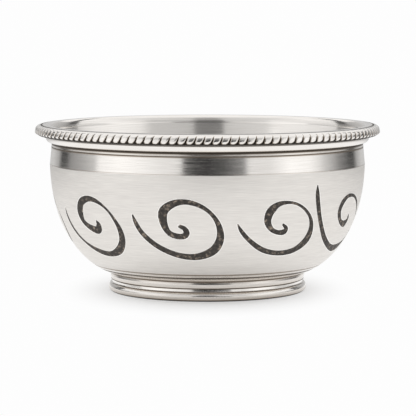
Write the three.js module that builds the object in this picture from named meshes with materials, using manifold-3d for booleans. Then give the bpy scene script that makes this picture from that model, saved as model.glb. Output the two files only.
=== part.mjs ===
// Small silver bowl on a ring foot, 114 mm across the rim and about 55 mm high.
// A spun shell carries a cast rim moulding with a lobed band let into it, a foot of
// two rings, and nine scrolls cut into the body and filled with black inlay.
// Millimetres, +Z up, origin at the centre of the foot, on the surface it stands on.

import * as THREE from 'three';
import { mergeVertices } from 'three/addons/utils/BufferGeometryUtils.js';
import Module from 'manifold-3d';

const wasm = await Module();
wasm.setup();

// How finely round things are drawn.
const facets = 56;
const bodyRows = 9;
const baseRows = 4;
const arcRows = 4;
const bandRows = 2;
const scrollStations = 30;

// Shell, stacked up from its seat on the foot.
const wallThickness = 1.2;
const neckRadius = 51.55;
const neckHeight = 5.8;
const bodySwell = 0.55;
const bodyHeight = 35.7;
const bodyFullness = 23.2;
const underbodyReach = 7.2;
const underbodyRise = 2.0;
const baseDrop = 1.9;
const seatLip = 0.2;

// Foot: a tapered collar standing on a bead with a hollow above it, both on one bore.
const collarRadius = 32.45;
const collarThickness = 1.85;
const collarTaper = 0.45;
const collarHeight = 2.3;
const grooveInset = 0.95;
const hollowReach = 0.7;
const hollowHeight = 1.05;
const hollowFlare = 0.35;
const hollowLean = 0.1;
const beadReach = 1.35;
const beadHeight = 2.95;
const beadMiddle = 1.5;
const soleInset = 0.8;
const collarClearance = 0.05;

// Rim moulding, stacked up from the shell's top edge and outwards from the neck.
const filletHeight = 1.5;
const filletReach = 0.35;
const ovoloReach = 1.6;
const ovoloHeight = 1.75;
const undercutReach = 2.4;
const undercutHeight = 0.7;
const ledgeThickness = 0.25;
const lipShoulderWidth = 0.5;
const lipHeight = 0.1;
const lipRoll = 1.85;
const throatFlare = 0.85;

// Lobed band, seated on the moulding's ledge.
const lobes = 132;
const lobeReach = 1.1;
const lobeRise = 0.75;
const lobeFace = 0.8;
const lobeLean = 0.14;
const lobeDepth = 0.75;
const bandThickness = 0.8;
const bandHeight = 2.95;
const bandClearance = 0.1;

// Scrolls: how deep they are cut, and how the inlay lies in them.
const cutDepth = 0.45;
const inlaySink = 0.12;
const inlayClearance = 0.05;
const scrollRadius = 48;
const scrollDrop = 18;
const strokeUnit = 1;

// Each scroll is one stroke of the graver, from its hook to the tip of its tail.
// A point is [distance to the right, distance up, width of the cut] in stroke units, on the
// body laid out flat.
const closeScroll = [
  [4.0, 2.0, 0.4], [4.5, 0.7, 1.9], [4.0, -0.9, 2.3], [2.1, -1.2, 2.4], [-2.5, 1.1, 1.8],
  [-3.3, 4.4, 2.8], [-1.8, 7.8, 2.4], [1.7, 9.3, 1.8], [5.3, 8.8, 1.2], [9.2, 6.4, 0.6],
  [11.7, 3.0, 1.0], [13.1, -0.8, 1.8], [12.7, -4.6, 2.2], [10.1, -8.1, 2.6], [5.3, -10.2, 2.0],
  [-0.7, -9.6, 2.1], [-7.2, -6.4, 1.2], [-11.2, -2.1, 1.3], [-13.0, 2.6, 1.0], [-13.0, 5.0, 0.3],
];
const broadScroll = [
  [1.5, 1.9, 0.8], [3.1, 0.9, 1.4], [3.6, -0.6, 1.8], [2.6, -1.8, 1.8], [-2.0, -0.5, 1.7],
  [-3.3, 6.1, 2.7], [-0.5, 8.9, 2.2], [3.3, 9.8, 1.5], [7.4, 8.8, 1.2], [11.0, 6.2, 1.0],
  [13.5, 2.0, 1.5], [14.0, -2.9, 2.4], [12.0, -7.0, 3.0], [7.1, -9.5, 2.6], [0.8, -9.2, 2.1],
  [-6.1, -5.9, 1.8], [-10.8, -1.1, 1.5], [-12.6, 2.8, 1.1], [-13.2, 5.0, 0.3],
];
const roundScroll = [
  [1.5, 1.7, 0.6], [2.7, 0.4, 1.2], [2.3, -0.8, 1.8], [0.0, -0.9, 1.4], [-2.4, 0.3, 1.4],
  [-4.0, 3.1, 2.1], [-3.4, 6.4, 2.5], [-1.1, 8.5, 1.6], [2.7, 9.0, 0.8], [6.8, 7.7, 0.7],
  [10.9, 4.2, 0.9], [12.7, 0.2, 1.6], [12.2, -4.6, 2.9], [8.5, -8.0, 2.3], [2.7, -8.9, 1.8],
  [-3.8, -7.3, 1.7], [-9.2, -3.4, 1.3], [-12.2, 0.1, 1.0], [-13.4, 2.3, 0.2],
];
const tallScroll = [
  [2.9, 2.6, 0.5], [3.3, 0.9, 1.8], [1.8, -0.3, 2.2], [-2.1, 0.8, 1.3], [-4.6, 4.3, 1.9],
  [-3.8, 7.1, 2.1], [-0.5, 9.2, 1.2], [3.7, 9.0, 0.8], [8.4, 6.7, 1.0], [12.6, 2.8, 1.6],
  [14.9, -1.8, 2.3], [14.2, -6.0, 2.8], [10.2, -8.9, 3.0], [4.4, -9.8, 2.8], [-1.9, -8.6, 1.8],
  [-8.9, -4.4, 1.6], [-13.8, 1.8, 1.4], [-16.3, 7.6, 1.5], [-17.2, 11.5, 1.3], [-17.4, 14.0, 0.1],
];

// Degrees round the bowl from the front, anticlockwise from above.
const scrollPlaces = [
  [closeScroll, -50], [broadScroll, -12], [roundScroll, 27], [tallScroll, 63], [broadScroll, 106],
  [roundScroll, 148], [closeScroll, 189], [broadScroll, 230], [closeScroll, 269],
];

// Heights and radii that follow from the sizes above.
const collarFoot = beadHeight + hollowHeight;
const footSeat = collarFoot + collarHeight;
const widestHeight = footSeat + bodyHeight;
const rimSeat = widestHeight + neckHeight;
const mouthRadius = neckRadius - wallThickness;
const collarBore = collarRadius - collarThickness;
const grooveRadius = collarRadius - grooveInset;
const ovoloFoot = rimSeat + filletHeight;
const ovoloTop = ovoloFoot + ovoloHeight;
const ledgeUnder = ovoloTop + undercutHeight;
const bandSeat = ledgeUnder + ledgeThickness;
const ovoloRadius = neckRadius + filletReach + ovoloReach;
const ledgeRadius = ovoloRadius + undercutReach;
const bandBore = ledgeRadius - bandThickness;
const bandTop = bandSeat + bandHeight;
const lipTop = bandTop + lipHeight;

const satinSilver = new THREE.MeshStandardMaterial({ color: 0xdcd8d2, roughness: 0.45, metalness: 1 });
const polishedSilver = new THREE.MeshStandardMaterial({ color: 0xe0dcd6, roughness: 0.12, metalness: 1 });
const blackInlay = new THREE.MeshStandardMaterial({ color: 0x3d3a37, roughness: 0.7, metalness: 0.3 });

const model = new THREE.Group();

function addPiece(name, geometry, material) {
  const piece = new THREE.Mesh(geometry, material);
  piece.name = name;
  model.add(piece);
}

// Triangles only, with every shared corner stored once and none of them flat.
function welded(geometry) {
  geometry.deleteAttribute('normal');
  geometry.deleteAttribute('uv');
  const merged = mergeVertices(geometry);
  const corners = merged.index.array;
  const kept = [];
  for (let i = 0; i < corners.length; i += 3) {
    const [a, b, c] = corners.slice(i, i + 3);
    if (a !== b && b !== c && c !== a) {
      kept.push(a, b, c);
    }
  }
  merged.setIndex(kept);
  return merged;
}

// A turned piece: its outline is [radius, height] points, up the outside and down the inside.
// A ring closes on its first point. drawIn may pull a point in, step by step round the piece.
function turned(outline, steps = facets, drawIn = () => 0) {
  const closed = outline[0][0] > 0 ? [...outline, outline[0]] : outline;
  const points = closed.map(([radius, height]) => new THREE.Vector2(radius, height));
  const geometry = new THREE.LatheGeometry(points, steps);
  const corners = geometry.attributes.position;
  for (let i = 0; i < corners.count; i++) {
    const radius = closed[i % closed.length][0];
    const step = Math.floor(i / closed.length);
    const scale = radius > 0 ? 1 - drawIn(radius, step) / radius : 1;
    corners.setX(i, corners.getX(i) * scale);
    corners.setZ(i, corners.getZ(i) * scale);
  }
  geometry.rotateX(Math.PI / 2);
  return welded(geometry);
}

// A quarter round from one point to another, level at the start and upright at the end.
function quarterRound([fromRadius, fromHeight], [toRadius, toHeight], rows = arcRows) {
  const points = [];
  for (let i = 0; i <= rows; i++) {
    const turn = (i / rows) * (Math.PI / 2);
    points.push([
      fromRadius + (toRadius - fromRadius) * Math.sin(turn),
      fromHeight + (toHeight - fromHeight) * (1 - Math.cos(turn)),
    ]);
  }
  return points;
}

// Outer curve of the body, from its widest line down to the foot.
const widest = new THREE.Vector2(neckRadius + bodySwell, widestHeight);
const bodyFoot = new THREE.Vector2(collarRadius + seatLip, footSeat + seatLip);
const bodyCurve = new THREE.CubicBezierCurve(
  widest,
  new THREE.Vector2(widest.x - bodySwell, widestHeight - bodyFullness),
  new THREE.Vector2(bodyFoot.x + underbodyReach, bodyFoot.y + underbodyRise),
  bodyFoot,
);

// Outer curve of the base, from the foot to the axis, carrying the body's slope on.
const baseReach = (baseDrop * underbodyReach) / underbodyRise;
const baseCurve = new THREE.QuadraticBezierCurve(
  bodyFoot,
  new THREE.Vector2(bodyFoot.x - baseReach, bodyFoot.y - baseDrop),
  new THREE.Vector2(0, bodyFoot.y - baseDrop),
);

// A point of a curve moved along its outward normal.
function offsetPoint(curve, share, rise) {
  const point = curve.getPoint(share);
  const tangent = curve.getTangent(share);
  return [point.x - tangent.y * rise, point.y + tangent.x * rise];
}

function curveRows(curve, rows, rise) {
  const points = [];
  for (let i = 0; i <= rows; i++) {
    points.push(offsetPoint(curve, i / rows, rise));
  }
  return points;
}

// The curve's height where it passes a given radius, found by halving the curve again and again.
function heightAt(curve, radius) {
  const halvings = 40;
  let low = 0;
  let high = 1;
  for (let i = 0; i < halvings; i++) {
    const middle = (low + high) / 2;
    if (curve.getPoint(middle).x > radius) {
      low = middle;
    } else {
      high = middle;
    }
  }
  return curve.getPoint(low).y;
}

function shellOutline() {
  const boss = collarBore - collarClearance;
  const base = curveRows(baseCurve, baseRows, 0).slice(1, -1);
  const outside = [
    [0, bodyFoot.y - baseDrop],
    ...base.reverse().filter(([radius]) => radius < boss),
    [boss, heightAt(baseCurve, boss)],
    [boss, footSeat],
    [bodyFoot.x, footSeat],
    ...curveRows(bodyCurve, bodyRows, 0).reverse(),
    [neckRadius, rimSeat],
  ];
  const inside = [
    [mouthRadius, rimSeat],
    ...curveRows(bodyCurve, bodyRows, -wallThickness).slice(0, -1),
    ...curveRows(baseCurve, baseRows, -wallThickness).slice(0, -1),
    [0, bodyFoot.y - baseDrop + wallThickness],
  ];
  return [...outside, ...inside];
}

// A place on the body: mm down from the widest line, degrees round, mm off the surface.
const bodyLength = bodyCurve.getLength();

function onBody(down, angle, rise) {
  const share = bodyCurve.getUtoTmapping(down / bodyLength);
  const [radius, height] = offsetPoint(bodyCurve, share, rise);
  return [radius * Math.sin(angle), -radius * Math.cos(angle), height];
}

// One scroll as a solid strip between two levels, widened by a margin each side.
function scrollSolid(stroke, place, low, high, margin) {
  const points = stroke.map((point) => new THREE.Vector3(...point).multiplyScalar(strokeUnit));
  const path = new THREE.CatmullRomCurve3(points);
  const positions = [];
  for (let i = 0; i < scrollStations; i++) {
    const share = i / (scrollStations - 1);
    const centre = path.getPoint(share);
    const along = path.getTangent(share);
    const length = Math.hypot(along.x, along.y);
    const half = centre.z / 2 + margin;
    for (const [side, level] of [[1, high], [-1, high], [-1, low], [1, low]]) {
      const across = centre.x - (along.y / length) * half * side;
      const up = centre.y + (along.x / length) * half * side;
      const angle = THREE.MathUtils.degToRad(place) + across / scrollRadius;
      positions.push(...onBody(scrollDrop - up, angle, level));
    }
  }
  const corners = [0, 2, 1, 0, 3, 2];
  for (let i = 0; i < scrollStations - 1; i++) {
    for (let side = 0; side < 4; side++) {
      const a = 4 * i + side;
      const b = 4 * i + ((side + 1) % 4);
      corners.push(a, b, b + 4, a, b + 4, a + 4);
    }
  }
  const last = 4 * (scrollStations - 1);
  corners.push(last, last + 1, last + 2, last, last + 2, last + 3);
  const geometry = new THREE.BufferGeometry();
  geometry.setAttribute('position', new THREE.Float32BufferAttribute(positions, 3));
  geometry.setIndex(corners);
  return geometry;
}

function toSolid(geometry) {
  return new wasm.Manifold(new wasm.Mesh({
    numProp: 3,
    vertProperties: new Float32Array(geometry.attributes.position.array),
    triVerts: new Uint32Array(geometry.index.array),
  }));
}

function fromSolid(solid) {
  const mesh = solid.getMesh();
  const geometry = new THREE.BufferGeometry();
  geometry.setAttribute('position', new THREE.BufferAttribute(mesh.vertProperties, 3));
  geometry.setIndex(new THREE.BufferAttribute(mesh.triVerts, 1));
  return geometry;
}

// The cutter stands as far out of the surface as it cuts in.
function bowlShell() {
  let shell = toSolid(turned(shellOutline()));
  for (const [stroke, place] of scrollPlaces) {
    const cutter = scrollSolid(stroke, place, -cutDepth, cutDepth, inlayClearance);
    shell = shell.subtract(toSolid(cutter));
  }
  return fromSolid(shell);
}

function rimMoulding() {
  const ovolo = quarterRound([neckRadius + filletReach, ovoloFoot], [ovoloRadius, ovoloTop]);
  const bandWall = bandBore - bandClearance;
  const crest = [bandWall - lipShoulderWidth, lipTop];
  return turned([
    [mouthRadius, rimSeat],
    [neckRadius, rimSeat],
    [neckRadius, ovoloFoot],
    ...ovolo,
    [ledgeRadius, ledgeUnder],
    [ledgeRadius, bandSeat],
    [bandWall, bandSeat],
    [bandWall, bandTop],
    ...quarterRound(crest, [mouthRadius + throatFlare, lipTop - lipRoll]),
  ]);
}

// Two steps to a lobe: every second step is drawn in, most where the band stands out most.
function gadroonBand() {
  const crest = ledgeRadius + lobeReach;
  const crestHeight = bandSeat + lobeRise;
  const underside = quarterRound([ledgeRadius, bandSeat], [crest, crestHeight], bandRows);
  const brow = [crest - lobeLean, crestHeight + lobeFace];
  const upperside = quarterRound([bandBore, bandTop], brow, bandRows);
  const outline = [[bandBore, bandSeat], ...underside, ...upperside.reverse()];
  const drawIn = (radius, step) => (step % 2) * lobeDepth * ((radius - bandBore) / (crest - bandBore));
  return turned(outline, 2 * lobes, drawIn);
}

function footCollar() {
  return turned([
    [collarBore, collarFoot],
    [collarRadius - collarTaper, collarFoot],
    [collarRadius, footSeat],
    [collarBore, footSeat],
  ]);
}

function footBead() {
  const widestPoint = [grooveRadius + beadReach, beadMiddle];
  const waist = [grooveRadius + hollowReach, beadHeight];
  const sole = [grooveRadius + beadReach - soleInset, 0];
  const hollow = [grooveRadius + hollowLean, beadHeight + hollowFlare];
  return turned([
    [collarBore, 0],
    ...quarterRound(sole, widestPoint),
    ...quarterRound(waist, widestPoint).reverse().slice(1),
    ...quarterRound(waist, hollow).slice(1),
    [grooveRadius, collarFoot],
    [collarBore, collarFoot],
  ]);
}

addPiece('bowl_shell', bowlShell(), satinSilver);
addPiece('rim_moulding', rimMoulding(), polishedSilver);
addPiece('gadroon_band', gadroonBand(), polishedSilver);
addPiece('foot_collar', footCollar(), polishedSilver);
addPiece('foot_bead', footBead(), polishedSilver);
scrollPlaces.forEach(([stroke, place], index) => {
  const floor = inlayClearance - cutDepth;
  addPiece(`scroll_inlay_${index + 1}`, scrollSolid(stroke, place, floor, -inlaySink, 0), blackInlay);
});

export default model;
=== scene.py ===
# A small silver bowl on a ring foot: a satin body with blackened scrolls, a polished neck,
# rim moulding and foot, and a band of lobes round the rim. Metres, +Z up, on a white floor.

import math

import bmesh
import bpy
import numpy as np
from mathutils.geometry import delaunay_2d_cdt
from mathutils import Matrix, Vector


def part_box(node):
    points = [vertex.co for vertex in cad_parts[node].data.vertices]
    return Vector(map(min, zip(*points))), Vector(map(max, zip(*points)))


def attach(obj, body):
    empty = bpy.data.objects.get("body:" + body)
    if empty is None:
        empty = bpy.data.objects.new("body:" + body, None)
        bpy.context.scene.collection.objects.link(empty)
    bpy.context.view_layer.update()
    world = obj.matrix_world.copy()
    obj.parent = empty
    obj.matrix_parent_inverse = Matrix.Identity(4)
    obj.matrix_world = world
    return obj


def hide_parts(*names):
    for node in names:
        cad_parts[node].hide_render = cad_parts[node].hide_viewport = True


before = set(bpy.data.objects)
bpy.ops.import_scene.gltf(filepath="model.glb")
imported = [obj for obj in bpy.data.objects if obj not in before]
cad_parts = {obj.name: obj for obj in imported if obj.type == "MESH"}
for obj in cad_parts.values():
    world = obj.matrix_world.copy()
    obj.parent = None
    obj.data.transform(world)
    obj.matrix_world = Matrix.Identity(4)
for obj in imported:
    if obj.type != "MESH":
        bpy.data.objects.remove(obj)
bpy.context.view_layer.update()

# Bowl shell: one sheet of silver spun into a neck, a full round body and a flat base.
# Its body is brushed to a satin, its neck, inside and underside are polished, and nine
# scrolls are cut into the satin with a graver, which burnishes their edges bright.
collar_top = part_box("foot_collar")[1]
shell_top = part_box("bowl_shell")[1]
neck_height = 0.0058
body_swell = 0.00055
body_fullness = 0.0232
underbody_reach, underbody_rise = 0.0072, 0.0020
base_drop = 0.0019
seat_lip = 0.0002
wall = 0.0012
boss_radius = 0.03055
satin_end_radius = 0.0384
# Widths of the painted shade lines on the neck: along the crease at the widest line, and under the rim's
# seat.
crease_line, seat_line = 0.00025, 0.0004
# Darkness is given at places, as a share of the way to black. The places are distances from the axis on
# the underside and heights on the inside and on the neck. On the underside it is painted shade by the
# collar and painted reflections in dark lines; the inside is darker towards its bottom; the neck's two
# ends carry painted shade.
underside_shade = [
    (0.0326, 0.75), (0.0332, 0.4), (0.0340, 0.05), (0.0354, 0.05), (0.0358, 0.95), (0.0364, 0.9),
    (0.0367, 0.0), (0.0375, 0.0), (0.0379, 0.5), (0.0384, 0.7), (0.03841, 0.0),
]
# The inside is darker towards its bottom.
inside_darkening = [(0.006, 0.16), (0.009, 0.12), (0.016, 0.04), (0.026, 0.0)]
widest_radius, rim_seat = shell_top.x, shell_top.z
widest_height = rim_seat - neck_height
neck_radius = widest_radius - body_swell
# The neck's painted shade: a faint dark line along the crease and a dark band up to the moulding.
neck_shade = [
    (widest_height, 0.0), (widest_height + crease_line, 0.22), (widest_height + 2 * crease_line, 0.0),
    (rim_seat - seat_line, 0.0), (rim_seat, 0.75),
]
foot_seat = collar_top.z
foot_edge = (collar_top.x + seat_lip, foot_seat + seat_lip)
columns = 240
neck_rows, shoulder_rows = 24, 10
base_rows, underside_rows, inside_rows = 20, 60, 70
curve_rows = 2000
weld_distance = 2e-7
hair = 1e-6
fold_angle = math.radians(32)


def bezier(handles, rows):
    """Points of a Bezier curve at even shares: each handle weighted by its Bernstein polynomial."""
    share = np.linspace(0, 1, rows + 1)[:, None]
    order = len(handles) - 1
    weights = [math.comb(order, i) * share**i * (1 - share) ** (order - i) for i in range(order + 1)]
    return np.hstack(weights) @ np.array(handles)


body_curve = bezier(
    [
        (widest_radius, widest_height),
        (neck_radius, widest_height - body_fullness),
        (foot_edge[0] + underbody_reach, foot_edge[1] + underbody_rise),
        foot_edge,
    ],
    curve_rows,
)
base_height = foot_edge[1] - base_drop
base_reach = base_drop * underbody_reach / underbody_rise
base_curve = bezier([foot_edge, (foot_edge[0] - base_reach, base_height), (0, base_height)], curve_rows)


def lengths(outline):
    """Distance of each point of an outline from its first, along the outline."""
    steps = np.hypot(*np.diff(outline, axis=0).T)
    return np.concatenate([[0], np.cumsum(steps)])


def spaced(outline, start, end, rows):
    """Points evenly spaced along an outline between two distances from its first point."""
    along = np.linspace(start, end, rows + 1)
    return np.stack([np.interp(along, lengths(outline), outline[:, i]) for i in (0, 1)], -1)


def pushed(outline, rise):
    """An outline moved by a rise along its outward normal, which is its direction turned a quarter left."""
    along = np.gradient(outline, axis=0)
    along /= np.hypot(*along.T)[:, None]
    return outline + rise * np.stack([-along[:, 1], along[:, 0]], -1)


def ring_points(angle, radius, height):
    """Points at an angle round the axis, from the front towards the right, at a radius and a height."""
    angle, radius, height = np.broadcast_arrays(angle, radius, height)
    return np.stack([radius * np.sin(angle), -radius * np.cos(angle), height], -1)


def grid_faces(rows, across):
    """Quads between the points of a grid stored row by row, with rows upwards and columns to the right."""
    corner = np.arange(rows * across).reshape(rows, across)
    quads = [corner[:-1, :-1], corner[:-1, 1:], corner[1:, 1:], corner[1:, :-1]]
    return np.stack(quads, -1).reshape(-1, 4)


def placed(name, form):
    """A mesh or a camera as an object of the scene."""
    piece = bpy.data.objects.new(name, form)
    bpy.context.scene.collection.objects.link(piece)
    return piece


def mesh_piece(name, points, faces, flat, materials, slots=None, levels=None):
    """A piece from points, faces and each point's place on the surface laid out flat, which becomes its
    UV map in metres. Points in one place are welded, so seams and poles close, and folds are sharp."""
    mesh = bpy.data.meshes.new(name)
    mesh.from_pydata(points, [], faces)
    corner = np.empty(len(mesh.loops), np.int32)
    mesh.loops.foreach_get("vertex_index", corner)
    mesh.uv_layers.new(name="laid_out").data.foreach_set("uv", flat[corner].astype(np.float32).ravel())
    if slots is not None:
        mesh.polygons.foreach_set("material_index", slots)
    if levels is not None:
        # The wear attribute holds burnish on the satin, and tarnish and painted shade on the polished
        # pieces.
        mesh.attributes.new("wear_and_shade", "FLOAT", "POINT").data.foreach_set("value", levels.astype(np.float32))
    for material in materials:
        mesh.materials.append(material)
    welded = bmesh.new()
    welded.from_mesh(mesh)
    bmesh.ops.remove_doubles(welded, verts=welded.verts, dist=weld_distance)
    bmesh.ops.recalc_face_normals(welded, faces=welded.faces)
    welded.to_mesh(mesh)
    welded.free()
    mesh.shade_smooth()
    mesh.set_sharp_from_angle(angle=fold_angle)
    return placed(name, mesh)


def turned(outline, start=0.0):
    """A turned surface: the outline carried once round the axis. Gives its points, its faces, and each
    point's place laid out flat, as distance round at the neck's radius and distance along the outline."""
    angle = np.linspace(start, start + 2 * math.pi, columns + 1)
    points = ring_points(angle, outline[:, :1], outline[:, 1:2])
    flat = np.stack(np.broadcast_arrays(angle * neck_radius, lengths(outline)[:, None]), -1)
    return points.reshape(-1, 3), grid_faces(len(outline), columns + 1), flat.reshape(-1, 2)


# Each scroll is one stroke of the graver, from its hook to the tip of its tail.
# A point is mm to the right, mm up and width of the cut, on the body laid out flat.
close_scroll = [
    (4.0, 2.0, 0.4), (4.5, 0.7, 1.9), (4.0, -0.9, 2.3), (2.1, -1.2, 2.4), (-2.5, 1.1, 1.8),
    (-3.3, 4.4, 2.8), (-1.8, 7.8, 2.4), (1.7, 9.3, 1.8), (5.3, 8.8, 1.2), (9.2, 6.4, 0.6),
    (11.7, 3.0, 1.0), (13.1, -0.8, 1.8), (12.7, -4.6, 2.2), (10.1, -8.1, 2.6), (5.3, -10.2, 2.0),
    (-0.7, -9.6, 2.1), (-7.2, -6.4, 1.2), (-11.2, -2.1, 1.3), (-13.0, 2.6, 1.0), (-13.0, 5.0, 0.3),
]
broad_scroll = [
    (1.5, 1.9, 0.8), (3.1, 0.9, 1.4), (3.6, -0.6, 1.8), (2.6, -1.8, 1.8), (-2.0, -0.5, 1.7),
    (-3.3, 6.1, 2.7), (-0.5, 8.9, 2.2), (3.3, 9.8, 1.5), (7.4, 8.8, 1.2), (11.0, 6.2, 1.0),
    (13.5, 2.0, 1.5), (14.0, -2.9, 2.4), (12.0, -7.0, 3.0), (7.1, -9.5, 2.6), (0.8, -9.2, 2.1),
    (-6.1, -5.9, 1.8), (-10.8, -1.1, 1.5), (-12.6, 2.8, 1.1), (-13.2, 5.0, 0.3),
]
round_scroll = [
    (1.5, 1.7, 0.6), (2.7, 0.4, 1.2), (2.3, -0.8, 1.8), (0.0, -0.9, 1.4), (-2.4, 0.3, 1.4),
    (-4.0, 3.1, 2.1), (-3.4, 6.4, 2.5), (-1.1, 8.5, 1.6), (2.7, 9.0, 0.8), (6.8, 7.7, 0.7),
    (10.9, 4.2, 0.9), (12.7, 0.2, 1.6), (12.2, -4.6, 2.9), (8.5, -8.0, 2.3), (2.7, -8.9, 1.8),
    (-3.8, -7.3, 1.7), (-9.2, -3.4, 1.3), (-12.2, 0.1, 1.0), (-13.4, 2.3, 0.2),
]
tall_scroll = [
    (2.9, 2.6, 0.5), (3.3, 0.9, 1.8), (1.8, -0.3, 2.2), (-2.1, 0.8, 1.3), (-4.6, 4.3, 1.9),
    (-3.8, 7.1, 2.1), (-0.5, 9.2, 1.2), (3.7, 9.0, 0.8), (8.4, 6.7, 1.0), (12.6, 2.8, 1.6),
    (14.9, -1.8, 2.3), (14.2, -6.0, 2.8), (10.2, -8.9, 3.0), (4.4, -9.8, 2.8), (-1.9, -8.6, 1.8),
    (-8.9, -4.4, 1.6), (-13.8, 1.8, 1.4), (-16.3, 7.6, 1.5), (-17.2, 11.5, 1.3), (-17.4, 14.0, 0.1),
]
# Degrees round the bowl from the front, and the seam of the laid-out body where no scroll lies.
scroll_places = [
    (close_scroll, -50), (broad_scroll, -12), (round_scroll, 27), (tall_scroll, 63), (broad_scroll, 106),
    (round_scroll, 148), (close_scroll, 189), (broad_scroll, 230), (close_scroll, -91),
]
seam = math.radians(-110)
scroll_radius = 0.048
scroll_drop = 0.018
cut_depth = 0.00045
inlay_clearance = 0.00005
fill_margin = 0.00007
least_half_width = 2e-5
tip_turn = 55


def stroke_line(stroke, stations):
    """Centre line, direction, bend and half width of a stroke, in metres: a centripetal Catmull-Rom spline,
    whose tangents on each stretch are the divided differences of its four points over the square roots
    of their distances. The stations are even in the number of the point, so they crowd where points do."""
    given = np.array(stroke) / 1000
    given = np.vstack([2 * given[0] - given[1], given, 2 * given[-1] - given[-2]])
    root = np.sqrt(np.linalg.norm(np.diff(given, axis=0), axis=1))
    place = np.linspace(0, len(stroke) - 1, stations)
    stretch = np.minimum(place.astype(int), len(stroke) - 2)
    before, here, after, beyond = (given[stretch + i] for i in range(4))
    first, middle, last = (root[stretch + i][:, None] for i in range(3))
    leaving = (here - before) / first - (after - before) / (first + middle) + (after - here) / middle
    arriving = (after - here) / middle - (beyond - here) / (middle + last) + (beyond - after) / last
    leaving, arriving = leaving * middle, arriving * middle
    way = (place - stretch)[:, None]
    line = here + leaving * way + (3 * (after - here) - 2 * leaving - arriving) * way**2
    line += (2 * (here - after) + leaving + arriving) * way**3
    centre, half = line[:, :2], line[:, 2] / 2
    along = np.gradient(centre, axis=0)
    speed = np.hypot(*along.T)
    along /= speed[:, None]
    turn = np.unwrap(np.arctan2(along[:, 1], along[:, 0]))
    return centre, along, np.gradient(turn) / speed, half


def stroke_side(line, offset, side):
    """One side of a stroke, 1 for left and -1 for right, moved out by an offset. On the inside of a tight
    bend a half width h at a curvature k narrows to h / (1 + (h k)^4)^(1/4), so the side never folds."""
    centre, along, bend, half = line
    reach = np.maximum(half + offset, least_half_width)
    reach = reach / (1 + (reach * np.maximum(side * bend, 0)) ** 4) ** 0.25
    return centre + side * reach[:, None] * np.stack([-along[:, 1], along[:, 0]], -1)


def stroke_ring(line, offset):
    """A closed line round a stroke at an offset: left side, round tip, right side and round head."""
    tips = []
    for end, way in ((-1, 1), (0, -1)):
        centre, along = line[0][end], way * line[1][end]
        half = max(line[3][end] + offset, least_half_width)
        turn = np.radians([tip_turn, 0, -tip_turn])[:, None]
        normal = np.array([-along[1], along[0]])
        tips.append(centre + half * (np.cos(turn) * along + np.sin(turn) * normal))
    left, right = stroke_side(line, offset, 1), stroke_side(line, offset, -1)
    return np.vstack([left, tips[0], right[::-1], tips[1]])


def on_body(angle, down, rise):
    """Points on the body by angle, distance down from the widest line, and rise off the surface."""
    outer, risen = lengths(body_curve), pushed(body_curve, 1.0) - body_curve
    radius = np.interp(down, outer, body_curve[:, 0]) + rise * np.interp(down, outer, risen[:, 0])
    height = np.interp(down, outer, body_curve[:, 1]) + rise * np.interp(down, outer, risen[:, 1])
    return ring_points(angle, radius, height)


# The body between these two distances down is triangulated round the scrolls. Every scroll has
# four rings: an offset from its edge, a rise off the surface, and how far it is burnished there.
engraved_from, engraved_to, engraved_rows = 0.0025, 0.0315, 24
cut_wear = 0.5
cut_rings = [
    (0.00041, 0.0, 0.0),
    (0.00023, 0.00003, 1.0),
    (0.00010, -0.00005, 1.0),
    (0.00008, -cut_depth, cut_wear),
]
stroke_stations = 84
bare_margin = 0.0006
merge_distance = 1e-8


def engraved_body():
    """The engraved stretch of the body: a grid of points, thinned out under and beside the scrolls, and the
    scrolls' rings, joined by a Delaunay triangulation that keeps every ring. Laid out flat, x is the
    angle times the scroll radius and y runs up; each point then goes onto the body at its ring's rise."""
    angle = seam + np.linspace(0, 2 * math.pi, columns + 1)
    down = np.linspace(engraved_from, engraved_to, engraved_rows + 1)
    x, y = np.meshgrid(angle * scroll_radius, scroll_drop - down)
    grid = np.stack([x.ravel(), y.ravel()], -1)
    inner = (np.abs(y - y.mean()) < np.ptp(y) / 2 - hair).ravel()
    corners, edges, rises, wear_and_shade_levels = [], [], [], []
    count = 0
    for stroke, degrees in scroll_places:
        line = stroke_line(stroke, stroke_stations)
        shift = np.array([math.radians(degrees) * scroll_radius, 0])
        gap = np.linalg.norm(grid[:, None] - (line[0] + shift), axis=2) - line[3]
        keep = ~inner | (gap.min(1) > bare_margin)
        grid, inner = grid[keep], inner[keep]
        for offset, rise, wear_and_shade in cut_rings:
            ring = stroke_ring(line, offset) + shift
            index = count + np.arange(len(ring))
            corners.append(ring)
            edges.append(np.stack([index, np.roll(index, -1)], -1))
            rises.append(np.full(len(ring), rise))
            wear_and_shade_levels.append(np.full(len(ring), wear_and_shade))
            count += len(ring)
    corners.append(grid)
    rises = np.concatenate([*rises, np.zeros(len(grid))])
    wear_and_shade_levels = np.concatenate([*wear_and_shade_levels, np.zeros(len(grid))])
    given = [tuple(point) for point in np.vstack(corners)]
    edges = np.vstack(edges).tolist()
    found, _, faces, sources, _, _ = delaunay_2d_cdt(given, edges, [], 0, merge_distance)
    x, y = np.array([tuple(point) for point in found], float).T
    known = np.array([source[0] if source else -1 for source in sources])
    rise, wear_and_shade = rises[known], wear_and_shade_levels[known]
    rise[known < 0], wear_and_shade[known < 0] = -cut_depth, cut_wear
    points = on_body(x / scroll_radius, scroll_drop - y, rise)
    flat = np.stack([x * neck_radius / scroll_radius, y - scroll_drop], -1)
    return points, faces, flat, wear_and_shade


def blank_material(name):
    """A new material without nodes, its empty set of nodes and the maker of its links."""
    material = bpy.data.materials.new(name)
    material.use_nodes = True
    material.node_tree.nodes.clear()
    return material, material.node_tree.nodes, material.node_tree.links.new


def shaded_material(name):
    """A new material with only a shader and its output, its nodes, its links' maker and the shader."""
    material, nodes, link = blank_material(name)
    shader = nodes.new("ShaderNodeBsdfPrincipled")
    link(shader.outputs[0], nodes.new("ShaderNodeOutputMaterial").inputs[0])
    return material, nodes, link, shader


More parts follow.
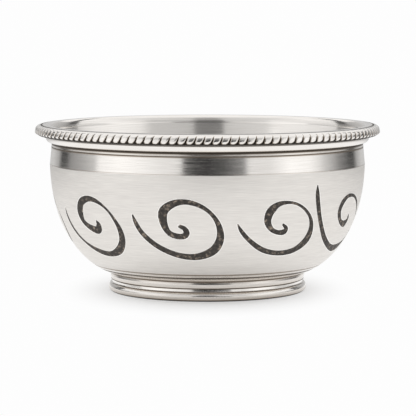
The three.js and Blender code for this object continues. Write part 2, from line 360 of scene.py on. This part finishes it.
def streaks(nodes, link, length, width):
    """Level streaks of a length and a width in metres: a noise stretched along the laid-out surface."""
    flat = nodes.new("ShaderNodeUVMap")
    flat.uv_map = "laid_out"
    stretch = nodes.new("ShaderNodeMapping")
    stretch.inputs["Scale"].default_value = (1 / length, 1 / width, 1)
    noise = nodes.new("ShaderNodeTexNoise")
    noise.inputs["Scale"].default_value = 1.0
    noise.inputs["Detail"].default_value = 3.0
    link(flat.outputs[0], stretch.inputs[0])
    link(stretch.outputs[0], noise.inputs["Vector"])
    return noise.outputs["Fac"]


def ramp(nodes, link, source, stops):
    """A colour ramp over a value: stops are (position, grey or colour)."""
    node = nodes.new("ShaderNodeValToRGB")
    band = node.color_ramp
    while len(band.elements) < len(stops):
        band.elements.new(0.5)
    for element, (position, colour) in zip(band.elements, stops):
        element.position = position
        element.color = (*colour, 1) if isinstance(colour, tuple) else (colour, colour, colour, 1)
    link(source, node.inputs[0])
    return node.outputs[0]


def blend_of(nodes, link, factor, low, high, kind="RGBA"):
    """A mix of two colours or values by a factor; each is a socket or a constant."""
    node = nodes.new("ShaderNodeMix")
    node.data_type = kind
    place = {"RGBA": (6, 7, 2), "FLOAT": (2, 3, 0)}[kind]
    for index, value in ((0, factor), (place[0], low), (place[1], high)):
        if isinstance(value, bpy.types.NodeSocket):
            link(value, node.inputs[index])
        else:
            node.inputs[index].default_value = value
    return node.outputs[place[2]]


def product_of(nodes, link, first, second):
    """Two colours multiplied."""
    node = nodes.new("ShaderNodeMix")
    node.data_type, node.blend_type = "RGBA", "MULTIPLY"
    node.inputs[0].default_value = 1.0
    link(first, node.inputs[6])
    link(second, node.inputs[7])
    return node.outputs[2]


def painted(nodes, attribute):
    """The value that a mesh carries under an attribute's name."""
    node = nodes.new("ShaderNodeAttribute")
    node.attribute_name = attribute
    return node.outputs["Fac"]


def give_relief(nodes, link, shader, height, strength, distance):
    """Lets a height raise a shader's surface, by a bump of a strength and a distance in metres."""
    bump = nodes.new("ShaderNodeBump")
    bump.inputs["Strength"].default_value = strength
    bump.inputs["Distance"].default_value = distance
    link(height, bump.inputs["Height"])
    link(bump.outputs[0], shader.inputs["Normal"])


def satin_silver():
    """Silver brushed round the body: fine level scratches in colour, roughness and bump, burnished bright
    where the wear attribute is 1."""
    material, nodes, link, shader = shaded_material("satin_silver")
    fine = streaks(nodes, link, 0.006, 0.00022)
    broad = streaks(nodes, link, 0.03, 0.0016)
    tone = ramp(nodes, link, fine, [(0.3, (0.77, 0.74, 0.705)), (0.7, (0.865, 0.835, 0.795))])
    cloud = ramp(nodes, link, broad, [(0.3, (0.94, 0.94, 0.94)), (0.7, (1.0, 1.0, 1.0))])
    worn = painted(nodes, "wear_and_shade")
    brushed = product_of(nodes, link, tone, cloud)
    link(blend_of(nodes, link, worn, brushed, (0.95, 0.93, 0.90, 1)), shader.inputs["Base Color"])
    rough = ramp(nodes, link, fine, [(0.3, 0.47), (0.7, 0.37)])
    link(blend_of(nodes, link, worn, rough, 0.22, "FLOAT"), shader.inputs["Roughness"])
    shader.inputs["Metallic"].default_value = 1.0
    give_relief(nodes, link, shader, fine, strength=0.25, distance=0.00003)
    return material


def polished_silver():
    """Polished silver with faint turning marks. The wear attribute darkens it from bright through brown to
    a dull
    near black: tarnish where the cloth misses a hollow, and painted shade and painted reflections
    elsewhere."""
    material, nodes, link, shader = shaded_material("polished_silver")
    marks = streaks(nodes, link, 0.012, 0.0003)
    tone = ramp(nodes, link, marks, [(0.35, (0.865, 0.83, 0.79)), (0.65, (0.915, 0.885, 0.85))])
    dark = painted(nodes, "wear_and_shade")
    # The stain darkens the silver alike for tarnish and for painted shade and reflection.
    stain_and_shade = ramp(nodes, link, dark, [(0.0, 1.0), (0.4, (0.45, 0.39, 0.33)), (1.0, (0.035, 0.03, 0.026))])
    link(product_of(nodes, link, tone, stain_and_shade), shader.inputs["Base Color"])
    rough = ramp(nodes, link, marks, [(0.35, 0.2), (0.65, 0.08)])
    link(blend_of(nodes, link, dark, rough, 0.45, "FLOAT"), shader.inputs["Roughness"])
    shader.inputs["Metallic"].default_value = 1.0
    give_relief(nodes, link, shader, marks, strength=0.12, distance=0.00002)
    return material


satin, polished = satin_silver(), polished_silver()


def bowl_shell():
    """The whole shell: the base and underside, the engraved body, then the neck, the mouth and the inside.
    Painted dark lines, as reflections, mark where the satin ends and run round the polished underside,
    and painted shade darkens it by the collar."""
    body_length = lengths(body_curve)[-1]
    base = spaced(base_curve, 0, lengths(base_curve)[-1], base_rows)[::-1]
    base = base[base[:, 0] < boss_radius]
    underside = spaced(body_curve, engraved_to, body_length, underside_rows)[::-1]
    boss = [(boss_radius, np.interp(boss_radius, base_curve[::-1, 0], base_curve[::-1, 1]))]
    below = np.vstack([base, boss, [(boss_radius, foot_seat), (foot_edge[0], foot_seat)], underside])
    shoulder = spaced(body_curve, 0, engraved_from, shoulder_rows)[::-1]
    neck = np.linspace((widest_radius, widest_height), (neck_radius, rim_seat), neck_rows)[1:]
    inner = pushed(np.vstack([body_curve, base_curve[1:]]), -wall)
    inside = spaced(inner, 0, lengths(inner)[-1], inside_rows)
    mouth = [(neck_radius - wall, rim_seat)]
    above = np.vstack([shoulder, neck, mouth, inside])
    above[-1, 0] = 0
    parts = [turned(below, start=seam), turned(above, start=seam), engraved_body()]
    points, faces, flats, wear_and_shade_levels = [], [], [], []
    for part in parts:
        faces += (np.array(part[1]) + sum(map(len, points))).tolist()
        points.append(part[0])
        flats.append(part[2])
        wear_and_shade_levels.append(part[3] if len(part) > 3 else np.zeros(len(part[0])))
    reach = np.hypot(points[0][:, 0], points[0][:, 1])
    wear_and_shade_levels[0] = np.interp(reach, *np.transpose(underside_shade), 0, 0)
    outside = np.hypot(points[1][:, 0], points[1][:, 1]) > neck_radius - hair
    wear_and_shade_levels[1] = np.interp(points[1][:, 2], *np.transpose(inside_darkening))
    wear_and_shade_levels[1][outside] = np.interp(points[1][outside, 2], *np.transpose(neck_shade))
    points = np.vstack(points)
    middle = np.array([points[list(face)].mean(0) for face in faces])
    radius = np.hypot(middle[:, 0], middle[:, 1])
    first_above, first_engraved = len(parts[0][1]), len(parts[0][1]) + len(parts[1][1])
    order = np.arange(len(faces))
    brushed = (order >= first_engraved) | ((order < first_above) & (radius > satin_end_radius))
    brushed |= (order >= first_above) & (order < first_above + shoulder_rows * columns)
    slots = np.where(brushed, 0, 1)
    return mesh_piece(
        "silver_bowl", points, faces, np.vstack(flats), [satin, polished], slots, np.concatenate(wear_and_shade_levels)
    )


shell = bowl_shell()
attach(shell, "root")
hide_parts("bowl_shell")

# Scroll inlays: the blackened filling of the nine cuts. The graver's short strokes show
# across it as low ridges. Where their tops are rubbed brown shows, here as scattered flecks.
inlay_sink = 0.00012
ridge_spacing = 0.0009
ridge_height = 0.00007
ridge_slant = 0.8
swell_beat, drift_beat, drift = 2.3, 0.61, 1.7
inlay_stations = 260
inlay_across = 9


def black_inlay():
    """Dark oxide with brownish flecks: two noises on Object coordinates, the finer one for pits."""
    material, nodes, link, shader = shaded_material("black_inlay")
    place = nodes.new("ShaderNodeTexCoord").outputs["Object"]
    noises = []
    for scale in (900.0, 3200.0):
        noise = nodes.new("ShaderNodeTexNoise")
        noise.inputs["Scale"].default_value = scale
        noise.inputs["Detail"].default_value = 4.0
        link(place, noise.inputs["Vector"])
        noises.append(noise.outputs["Fac"])
    tone = ramp(
        nodes, link, noises[0],
        [(0.35, (0.034, 0.03, 0.026)), (0.56, (0.068, 0.058, 0.05)), (0.74, (0.36, 0.29, 0.225))],
    )
    link(tone, shader.inputs["Base Color"])
    shader.inputs["Metallic"].default_value = 0.35
    shader.inputs["Roughness"].default_value = 0.62
    give_relief(nodes, link, shader, noises[1], strength=0.6, distance=0.00005)
    return material


oxide = black_inlay()


def scroll_inlay(number, stroke, degrees):
    """One scroll's filling: a section carried along the stroke. Its top runs across in even steps, lowered
    by a sine's humps that cross the stroke slantwise and whose height swells and drifts along it. Two
    corners close the section at the bottom of the cut."""
    line = stroke_line(stroke, inlay_stations)
    left, right = stroke_side(line, fill_margin, 1), stroke_side(line, fill_margin, -1)
    share = np.linspace(0, 1, inlay_across)
    top = right[:, None] + (left - right)[:, None] * share[:, None]
    run = np.concatenate([[0], np.cumsum(np.hypot(*np.diff(line[0], axis=0).T))])
    slant = run[:, None] / ridge_spacing + ridge_slant * share
    uneven = (1 + np.sin(swell_beat * slant + drift * np.sin(drift_beat * slant + number))) / 2
    ridge = uneven * np.abs(np.sin(math.pi * slant))
    level = -inlay_sink - ridge_height * ridge
    bottom = np.stack([left, right], 1)
    section = np.concatenate([top, bottom], 1)
    rise = np.concatenate([level, np.full((inlay_stations, 2), inlay_clearance - cut_depth)], 1)
    angle = math.radians(degrees) + section[..., 0] / scroll_radius
    points = on_body(angle, scroll_drop - section[..., 1], rise)
    around = inlay_across + 2
    points = np.concatenate([points, points[:, :1]], 1)
    faces = grid_faces(inlay_stations, around + 1).tolist()
    last = (inlay_stations - 1) * (around + 1)
    faces += [list(range(around))[::-1], list(range(last, last + around))]
    flat = np.zeros((inlay_stations, around + 1, 2))
    flat[..., 0] = run[:, None]
    points, flat = points.reshape(-1, 3), flat.reshape(-1, 2)
    piece = mesh_piece(f"scroll_filling_{number}", points, faces, flat, [oxide])
    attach(piece, "root")
    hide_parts(f"scroll_inlay_{number}")


for number, (stroke, degrees) in enumerate(scroll_places, 1):
    scroll_inlay(number, stroke, degrees)

# Rim moulding: a cast ring soldered to the bowl's edge. Up from the neck come a fillet, a
# round moulding, an undercut below the lobed band, and a smooth lip that rolls inwards. Painted
# shade darkens its corners, the undercut and the lip's edge over the band.
moulding_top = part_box("rim_moulding")[1]
band_low, band_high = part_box("gadroon_band")
fillet_height, fillet_reach, fillet_lean = 0.0015, 0.00035, 0.00013
ovolo_reach, ovolo_height = 0.0016, 0.00175
undercut_reach, undercut_rise, undercut_height = 0.0002, 0.0001, 0.0007
band_thickness, band_clearance = 0.0008, 0.0001
lip_shoulder, lip_flat, lip_groove = 0.0005, 0.0020, 0.00015
lip_roll, throat_flare = 0.0032, 0.00085
roll_rows, roll_end = 24, 22
# Painted shade at heights over the seat, and at shares of the fillet's height.
seam_shade = [(0, 0.95), (0.00012, 0.9), (0.00027, 0.1)]
fillet_shade = [(0.45, 0.1), (0.6, 0.85), (1, 1)]
# The lip's edge over the band: share of the shoulder's width, share of its height, painted shade.
lip_edge = [(0.65, 0.3, 0.9), (0.95, 0.9, 0.8), (1.1, 1, 0)]
mouth_radius = neck_radius - wall
ovolo_foot = rim_seat + fillet_height
ovolo_radius = neck_radius + fillet_reach + ovolo_reach
ledge_radius = moulding_top.x
band_bore = ledge_radius - band_thickness
band_wall = band_bore - band_clearance
fine_step = 0.00012


def quarter_round(start, end, rows=12, fade=1.0):
    """A quarter of an ellipse, level at its start and upright at its end: the sine and one minus the cosine
    of a turn up to 90 degrees, scaled to the two sides. A third value, which the outline carries along,
    goes over to that of the end within the first part of the turn, which fade gives."""
    share = np.linspace(0, 1, rows + 1)
    turn = share * math.pi / 2
    way = np.stack([np.sin(turn), 1 - np.cos(turn), np.minimum(share / fade, 1)], -1)
    return np.array(start) + (np.array(end) - np.array(start)) * way


def refined(outline, step):
    """An outline with points added evenly along it, so that no stretch is longer than a step."""
    along = lengths(outline[:, :2])
    extra = np.arange(0, along[-1], step)
    everywhere = np.unique(np.concatenate([along, extra]).round(9))
    return np.stack([np.interp(everywhere, along, outline[:, i]) for i in range(3)], -1)


def ring_piece(name, outline):
    """A turned ring whose outline closes on itself: each point is a radius, a height and its tarnish and
    painted shade.
    """
    outline = refined(np.vstack([outline, outline[:1]]), fine_step)
    points, faces, flat = turned(outline[:, :2])
    wear_and_shade = np.repeat(outline[:, 2], columns + 1)
    return mesh_piece(name, points, faces, flat, [polished], None, wear_and_shade)


def rim_moulding():
    """The moulding's outline from its seat outwards, up and over the lip, with painted shade in the corners
    and the undercut. The lip's roll stops short of upright, where it meets the flared throat."""
    seat = [(mouth_radius, rim_seat, 0)]
    for rise, darkness in seam_shade:
        seat.append((neck_radius, rim_seat + rise, darkness))
    for share, darkness in fillet_shade:
        seat.append((neck_radius - share * fillet_lean, rim_seat + share * fillet_height, darkness))
    # The ovolo's foot carries painted shade, fading over the first part of its turn.
    ovolo_start = (neck_radius + fillet_reach, ovolo_foot, 0.9)
    ovolo = quarter_round(ovolo_start, (ovolo_radius, ovolo_foot + ovolo_height, 0), fade=0.35)
    # The undercut, the ledge and the groove under the lip, all tucked under the band, are painted dark as
    # shade.
    ledge = [
        (ovolo_radius + undercut_reach, ovolo_foot + ovolo_height + undercut_rise, 0.9),
        (ledge_radius, ovolo_foot + ovolo_height + undercut_height, 1),
        (ledge_radius, band_low.z, 1),
        (band_wall, band_low.z, 1),
        (band_wall, band_high.z - lip_groove, 1),
        (band_wall - lip_groove, band_high.z - lip_groove, 1),
        (band_wall - lip_groove, band_high.z, 0.9),
    ]
    lip_height = moulding_top.z - band_high.z
    for across, up, darkness in lip_edge:
        ledge.append((band_wall - across * lip_shoulder, band_high.z + up * lip_height, darkness))
    crest = (band_wall - lip_shoulder - lip_flat, moulding_top.z, 0)
    throat = (mouth_radius + throat_flare, moulding_top.z - lip_roll, 0)
    lip = quarter_round(crest, throat, roll_rows)[:roll_end]
    return ring_piece("rim_ring", np.vstack([seat, ovolo, ledge, lip]))


moulding = rim_moulding()
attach(moulding, "root")
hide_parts("rim_moulding")

# Gadroon band: a strip chased into short upright lobes, let into the rim under the lip.
# The cuts hold dark oxide; painted shade and reflection spread from them, fine at the top, wide on the
# face.
lobes = 132
lobe_steps = 12
lobe_depth = 0.00075
lobe_rise, lobe_face = 0.00075, 0.0008
face_lean = 0.00014
band_slant = 0.0003
arch_fullness, arch_power = 0.96, 5
under_steps, over_steps = 6, 8
# The bright share of a lobe's width at its foot, crest, brow and top, past which it is painted dark,
# and how softly that dark ends.
bright_foot, bright_crest, bright_brow, bright_top = 0.2, 0.75, 0.86, 1.4
cut_fade = 0.2


def gadroon_band():
    """The band's outline goes up its outside and down its bore. Round the band it is drawn in by the lobe
    depth times an arch, one minus the root of one minus a power of the distance from the lobe's middle,
    and by the share of the way out from bore to crest. Its third value is a lobe's bright share, beyond
    which the lobe is painted dark: oxide in the cut, and painted shade and reflection over the face."""
    crest, crest_height = band_high.x, band_low.z + lobe_rise
    foot = (ledge_radius, band_low.z, bright_foot)
    under = quarter_round(foot, (crest, crest_height, bright_crest), under_steps)
    brow = (crest - face_lean, crest_height + lobe_face, bright_brow)
    over = quarter_round((band_bore, band_high.z, bright_top), brow, over_steps)[::-1]
    inner = [(band_bore, band_low.z, 0)]
    outline = np.vstack([inner, under, over, inner])
    around = lobes * lobe_steps
    angle = np.linspace(0, 2 * math.pi, around + 1)
    off_middle = np.abs((np.arange(around + 1) / lobe_steps + 0.5) % 1 - 0.5) * 2
    arch = 1 - np.sqrt(1 - arch_fullness * off_middle**arch_power)
    out = np.clip((outline[:, :1] - band_bore) / (crest - band_bore), 0, 1)
    radius = outline[:, :1] - lobe_depth * arch * out
    turn = angle + band_slant / crest * (outline[:, 1:2] - crest_height) / lobe_rise
    points = ring_points(turn, radius, outline[:, 1:2])
    wear_and_shade = np.clip((off_middle - outline[:, 2:]) / cut_fade + 0.5, 0, 1)
    flat = np.stack(np.broadcast_arrays(angle * neck_radius, lengths(outline[:, :2])[:, None]), -1)
    faces = grid_faces(len(outline), around + 1)
    return mesh_piece(
        "lobed_band", points.reshape(-1, 3), faces, flat.reshape(-1, 2), [polished], None, wear_and_shade.ravel()
    )


band = gadroon_band()
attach(band, "root")
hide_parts("gadroon_band")

# Foot collar: the tapered ring between the bowl and the bead, turned smooth and polished.
bead_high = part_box("foot_bead")[1]
collar_thickness = 0.00185
collar_bore = collar_top.x - collar_thickness
# Points of its outside: inset from its widest, height over its foot or depth under its top, darkness:
# tarnish along the middle, and painted shade at the foot by the bead and at the top under the bowl.
collar_low = [(0.00045, 0, 1), (0.00044, 0.00015, 0.9), (0.00042, 0.00035, 0.12)]
collar_high = [(0.0002, 0.0009, 0.08), (0.00031, 0.0002, 0.2), (0.00045, 0, 0.75)]


def foot_collar():
    """The collar's outline: its slanting outside from the bead upwards, its top, its bore and its foot."""
    low = [(collar_top.x - inset, bead_high.z + rise, darkness) for inset, rise, darkness in collar_low]
    high = [(collar_top.x - inset, foot_seat - depth, darkness) for inset, depth, darkness in collar_high]
    bore = [(collar_bore, foot_seat, 0), (collar_bore, bead_high.z, 0)]
    return ring_piece("collar_ring", np.array(low + high + bore))


collar = foot_collar()
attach(collar, "root")
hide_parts("foot_collar")

# Foot bead: the ring that the bowl stands on, a main bead with a hollow above it.
groove_radius = 0.0315
hollow_reach, hollow_flare, hollow_lean = 0.0007, 0.00035, 0.0001
bead_reach = 0.00135
bead_middle, bead_top = 0.0015, 0.00282
bead_points = 25
seam_depth, seam_lean = 0.00025, 0.00004
# The bead's painted shade by height: black along the sole as the contact shadow, darker over the lower half
# and clear above, with a trace in the corner at the waist.
waist_shade = 0.05
bead_shade = [
    (0.0, 1.0), (0.0003, 1.0), (0.0005, 0.35), (0.0008, 0.18), (0.0016, 0.12), (0.002, 0.0),
    (0.0026, 0.0), (bead_top, waist_shade),
]


def foot_bead():
    """The bead's outline: its flat sole, the main bead as an arc of a circle through the sole, the widest
    line and the waist, then the hollow and its top under the collar."""
    widest = groove_radius + bead_reach
    waist = (groove_radius + hollow_reach, bead_top, waist_shade)
    drop = widest - waist[0]
    arc_radius = (drop**2 + (bead_top - bead_middle) ** 2) / (2 * drop)
    height = np.linspace(0, bead_top, bead_points)
    reach = widest - arc_radius + np.sqrt(arc_radius**2 - (height - bead_middle) ** 2)
    main = np.stack([reach, height, np.interp(height, *np.transpose(bead_shade))], -1)
    inmost = (groove_radius + hollow_lean, bead_top + hollow_flare, 0)
    hollow = quarter_round(waist, inmost, fade=0.2)[1:]
    # The top's corner under the collar is painted dark as shade.
    top = [
        (groove_radius + seam_lean, bead_high.z - seam_depth, 0),
        (groove_radius, bead_high.z, 0.9),
        (collar_bore, bead_high.z, 0),
    ]
    outline = np.vstack([[(collar_bore, 0, 0)], main, hollow, top])
    return ring_piece("bead_ring", outline)


bead = foot_bead()
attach(bead, "root")
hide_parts("foot_bead")

# Floor: a white table top. Near the bowl it takes its soft shadow, and further out it
# fades into the white of the background.
floor_radius, floor_corners = 3.0, 96
floor_grey = (0.93, 0.93, 0.93, 1)
background = 0.985
shadow_from, shadow_to, shadow_narrowing = 0.02, 0.07, 1.4
shadow_veil = 0.2
far_floor, far_from, far_to = 0.6, 0.05, 0.35


def smooth_change(nodes, link, source, start, end, low, high):
    """A value that goes over smoothly from low to high while its source goes from start to end."""
    node = nodes.new("ShaderNodeMapRange")
    node.interpolation_type = "SMOOTHSTEP"
    values = {"From Min": start, "From Max": end, "To Min": low, "To Max": high}
    for key, value in values.items():
        node.inputs[key].default_value = value
    link(source, node.inputs["Value"])
    return node.outputs[0]


def white_floor():
    """A disc of floor. Near the bowl it is lit, and so takes the shadow, under a thin veil of even white.
    Further out the white covers it. Only in reflections, the floor behind the bowl is dimmer."""
    angle = np.linspace(0, 2 * math.pi, floor_corners + 1)[:-1]
    mesh = bpy.data.meshes.new("floor")
    mesh.from_pydata(ring_points(angle, floor_radius, 0), [], [list(range(floor_corners))])
    material, nodes, link = blank_material("white_floor")
    lit = nodes.new("ShaderNodeBsdfDiffuse")
    lit.inputs[0].default_value = floor_grey
    white = nodes.new("ShaderNodeEmission")
    place = nodes.new("ShaderNodeTexCoord").outputs["Object"]
    parts = nodes.new("ShaderNodeSeparateXYZ")
    link(place, parts.inputs[0])
    behind = smooth_change(nodes, link, parts.outputs["Y"], far_from, far_to, background, far_floor)
    seen = nodes.new("ShaderNodeLightPath").outputs["Is Camera Ray"]
    link(blend_of(nodes, link, seen, behind, background, "FLOAT"), white.inputs[0])
    narrowed = nodes.new("ShaderNodeMapping")
    narrowed.inputs["Scale"].default_value = (shadow_narrowing, 1, 1)
    link(place, narrowed.inputs[0])
    away = nodes.new("ShaderNodeVectorMath")
    away.operation = "LENGTH"
    link(narrowed.outputs[0], away.inputs[0])
    mixed = nodes.new("ShaderNodeMixShader")
    veil = smooth_change(nodes, link, away.outputs["Value"], shadow_from, shadow_to, shadow_veil, 1)
    for index, source in enumerate((veil, lit.outputs[0], white.outputs[0])):
        link(source, mixed.inputs[index])
    link(mixed.outputs[0], nodes.new("ShaderNodeOutputMaterial").inputs[0])
    mesh.materials.append(material)
    placed("floor", mesh)


white_floor()

# Studio: a white tent round the table. The polished silver mirrors its walls: the dark gap
# that the camera looks through, a flag at each side, and the dimmer cloth between them.
# Tall dark gaps in it, at both sides behind, show as the smudges at the two ends of the inside.
tent_radius = 1.1
side_from = 85
# Each cloth is places in degrees from the front towards the right, with their brightness.
lower_cloth = [
    (-180, 0.6), (-150, 0.62), (-136, 0.42), (-130, 0.06), (-122, 0.07), (-115, 0.28), (-100, 0.38),
    (-88, 0.52), (-83, 1.0), (-64, 1.12), (-48, 1.02), (-33, 0.88), (-19, 0.84), (-16, 0.07), (-9, 0.05),
    (0, 0.03), (12, 0.085), (22, 0.2), (26, 0.26), (29, 0.86), (44, 0.83), (60, 1.1), (77, 1.05),
    (86, 0.85), (92, 0.6), (109, 0.22), (124, 0.07), (131, 0.06), (138, 0.42), (150, 0.62), (180, 0.6),
]
side_cloth = [(86, 0.75), (119, 0.75), (121, 0.3), (136, 0.3), (145, 0.45), (180, 0.6)]
other_side = [(-degrees, light) for degrees, light in reversed(side_cloth)]
middle_cloth = other_side + [place for place in lower_cloth if abs(place[0]) < side_from] + side_cloth
upper_cloth = [
    (-180, 0.65), (-150, 0.5), (-138, 0.45), (-131, 0.1), (-121, 0.1), (-119, 0.85), (-80, 0.9),
    (-55, 0.95), (-48, 0.72), (-14, 0.62), (-12, 0.2), (9, 0.2), (12, 0.55), (46, 0.6), (55, 0.9),
    (80, 1.0), (119, 0.9), (121, 0.1), (131, 0.1), (138, 0.45), (150, 0.5), (180, 0.65),
]
top_cloth = [
    (-180, background), (-135, background), (-134, 0.1), (-124, 0.1), (-123, background),
    (-90, background), (-50, 0.75), (-13, 0.65), (-9, 0.4), (9, 0.4), (13, 0.65), (50, 0.75),
    (90, background), (123, background), (124, 0.1), (134, 0.1), (135, background), (180, background),
]
# Each wall is a name, a lower and an upper height, and its cloth.
tent_walls = [
    ("tent_lower", 0.0, 0.12, lower_cloth),
    ("tent_middle", 0.12, 0.24, middle_cloth),
    ("tent_upper", 0.24, 0.5, upper_cloth),
    ("tent_top", 0.5, 1.15, top_cloth),
]


def tent_wall(name, low, high, cloth):
    """One height of the tent's wall, seen only in reflections, with its cloth's brightness joined up by
    straight lines."""
    degrees = np.linspace(-180, 180, 361)
    points = ring_points(np.radians(degrees), tent_radius, np.array([[low], [high]])).reshape(-1, 3)
    mesh = bpy.data.meshes.new(name)
    mesh.from_pydata(points, [], grid_faces(2, len(degrees)))
    glow = np.tile(np.interp(degrees, *np.transpose(cloth)), 2)
    mesh.attributes.new("glow", "FLOAT", "POINT").data.foreach_set("value", glow.astype(np.float32))
    material, nodes, link = blank_material(name)
    light = nodes.new("ShaderNodeEmission")
    link(painted(nodes, "glow"), light.inputs[0])
    link(light.outputs[0], nodes.new("ShaderNodeOutputMaterial").inputs[0])
    mesh.materials.append(material)
    wall_piece = placed(name, mesh)
    wall_piece.visible_camera = False


def studio():
    """A white sky over the tent's walls, which stand on one another."""
    world = bpy.data.worlds.new("tent")
    bpy.context.scene.world = world
    world.use_nodes = True
    world.node_tree.nodes["Background"].inputs["Color"].default_value = (background,) * 3 + (1,)
    for name, low, high, cloth in tent_walls:
        tent_wall(name, low, high, cloth)


studio()

# Camera: a little above the rim and looking slightly down, as in the photograph.
picture_size = 416
camera_distance, camera_height = 0.77784, 0.10203
camera_pitch = 5.506
focal_pixels = 2352.6
axis_pixel = 207.4


def photo_camera():
    """The camera: its lens gives the focal length in pixels of the square picture on a 36 mm sensor."""
    data = bpy.data.cameras.new("camera")
    data.sensor_width = 36
    data.lens = focal_pixels * data.sensor_width / picture_size
    data.shift_x = (picture_size / 2 - axis_pixel) / picture_size
    data.clip_start, data.clip_end = 0.01, 20
    camera = placed("camera", data)
    camera.location = (0, -camera_distance, camera_height)
    camera.rotation_euler = (math.radians(90 - camera_pitch), 0, 0)
    bpy.context.scene.camera = camera


photo_camera()
bpy.context.scene.view_settings.view_transform = "Standard"
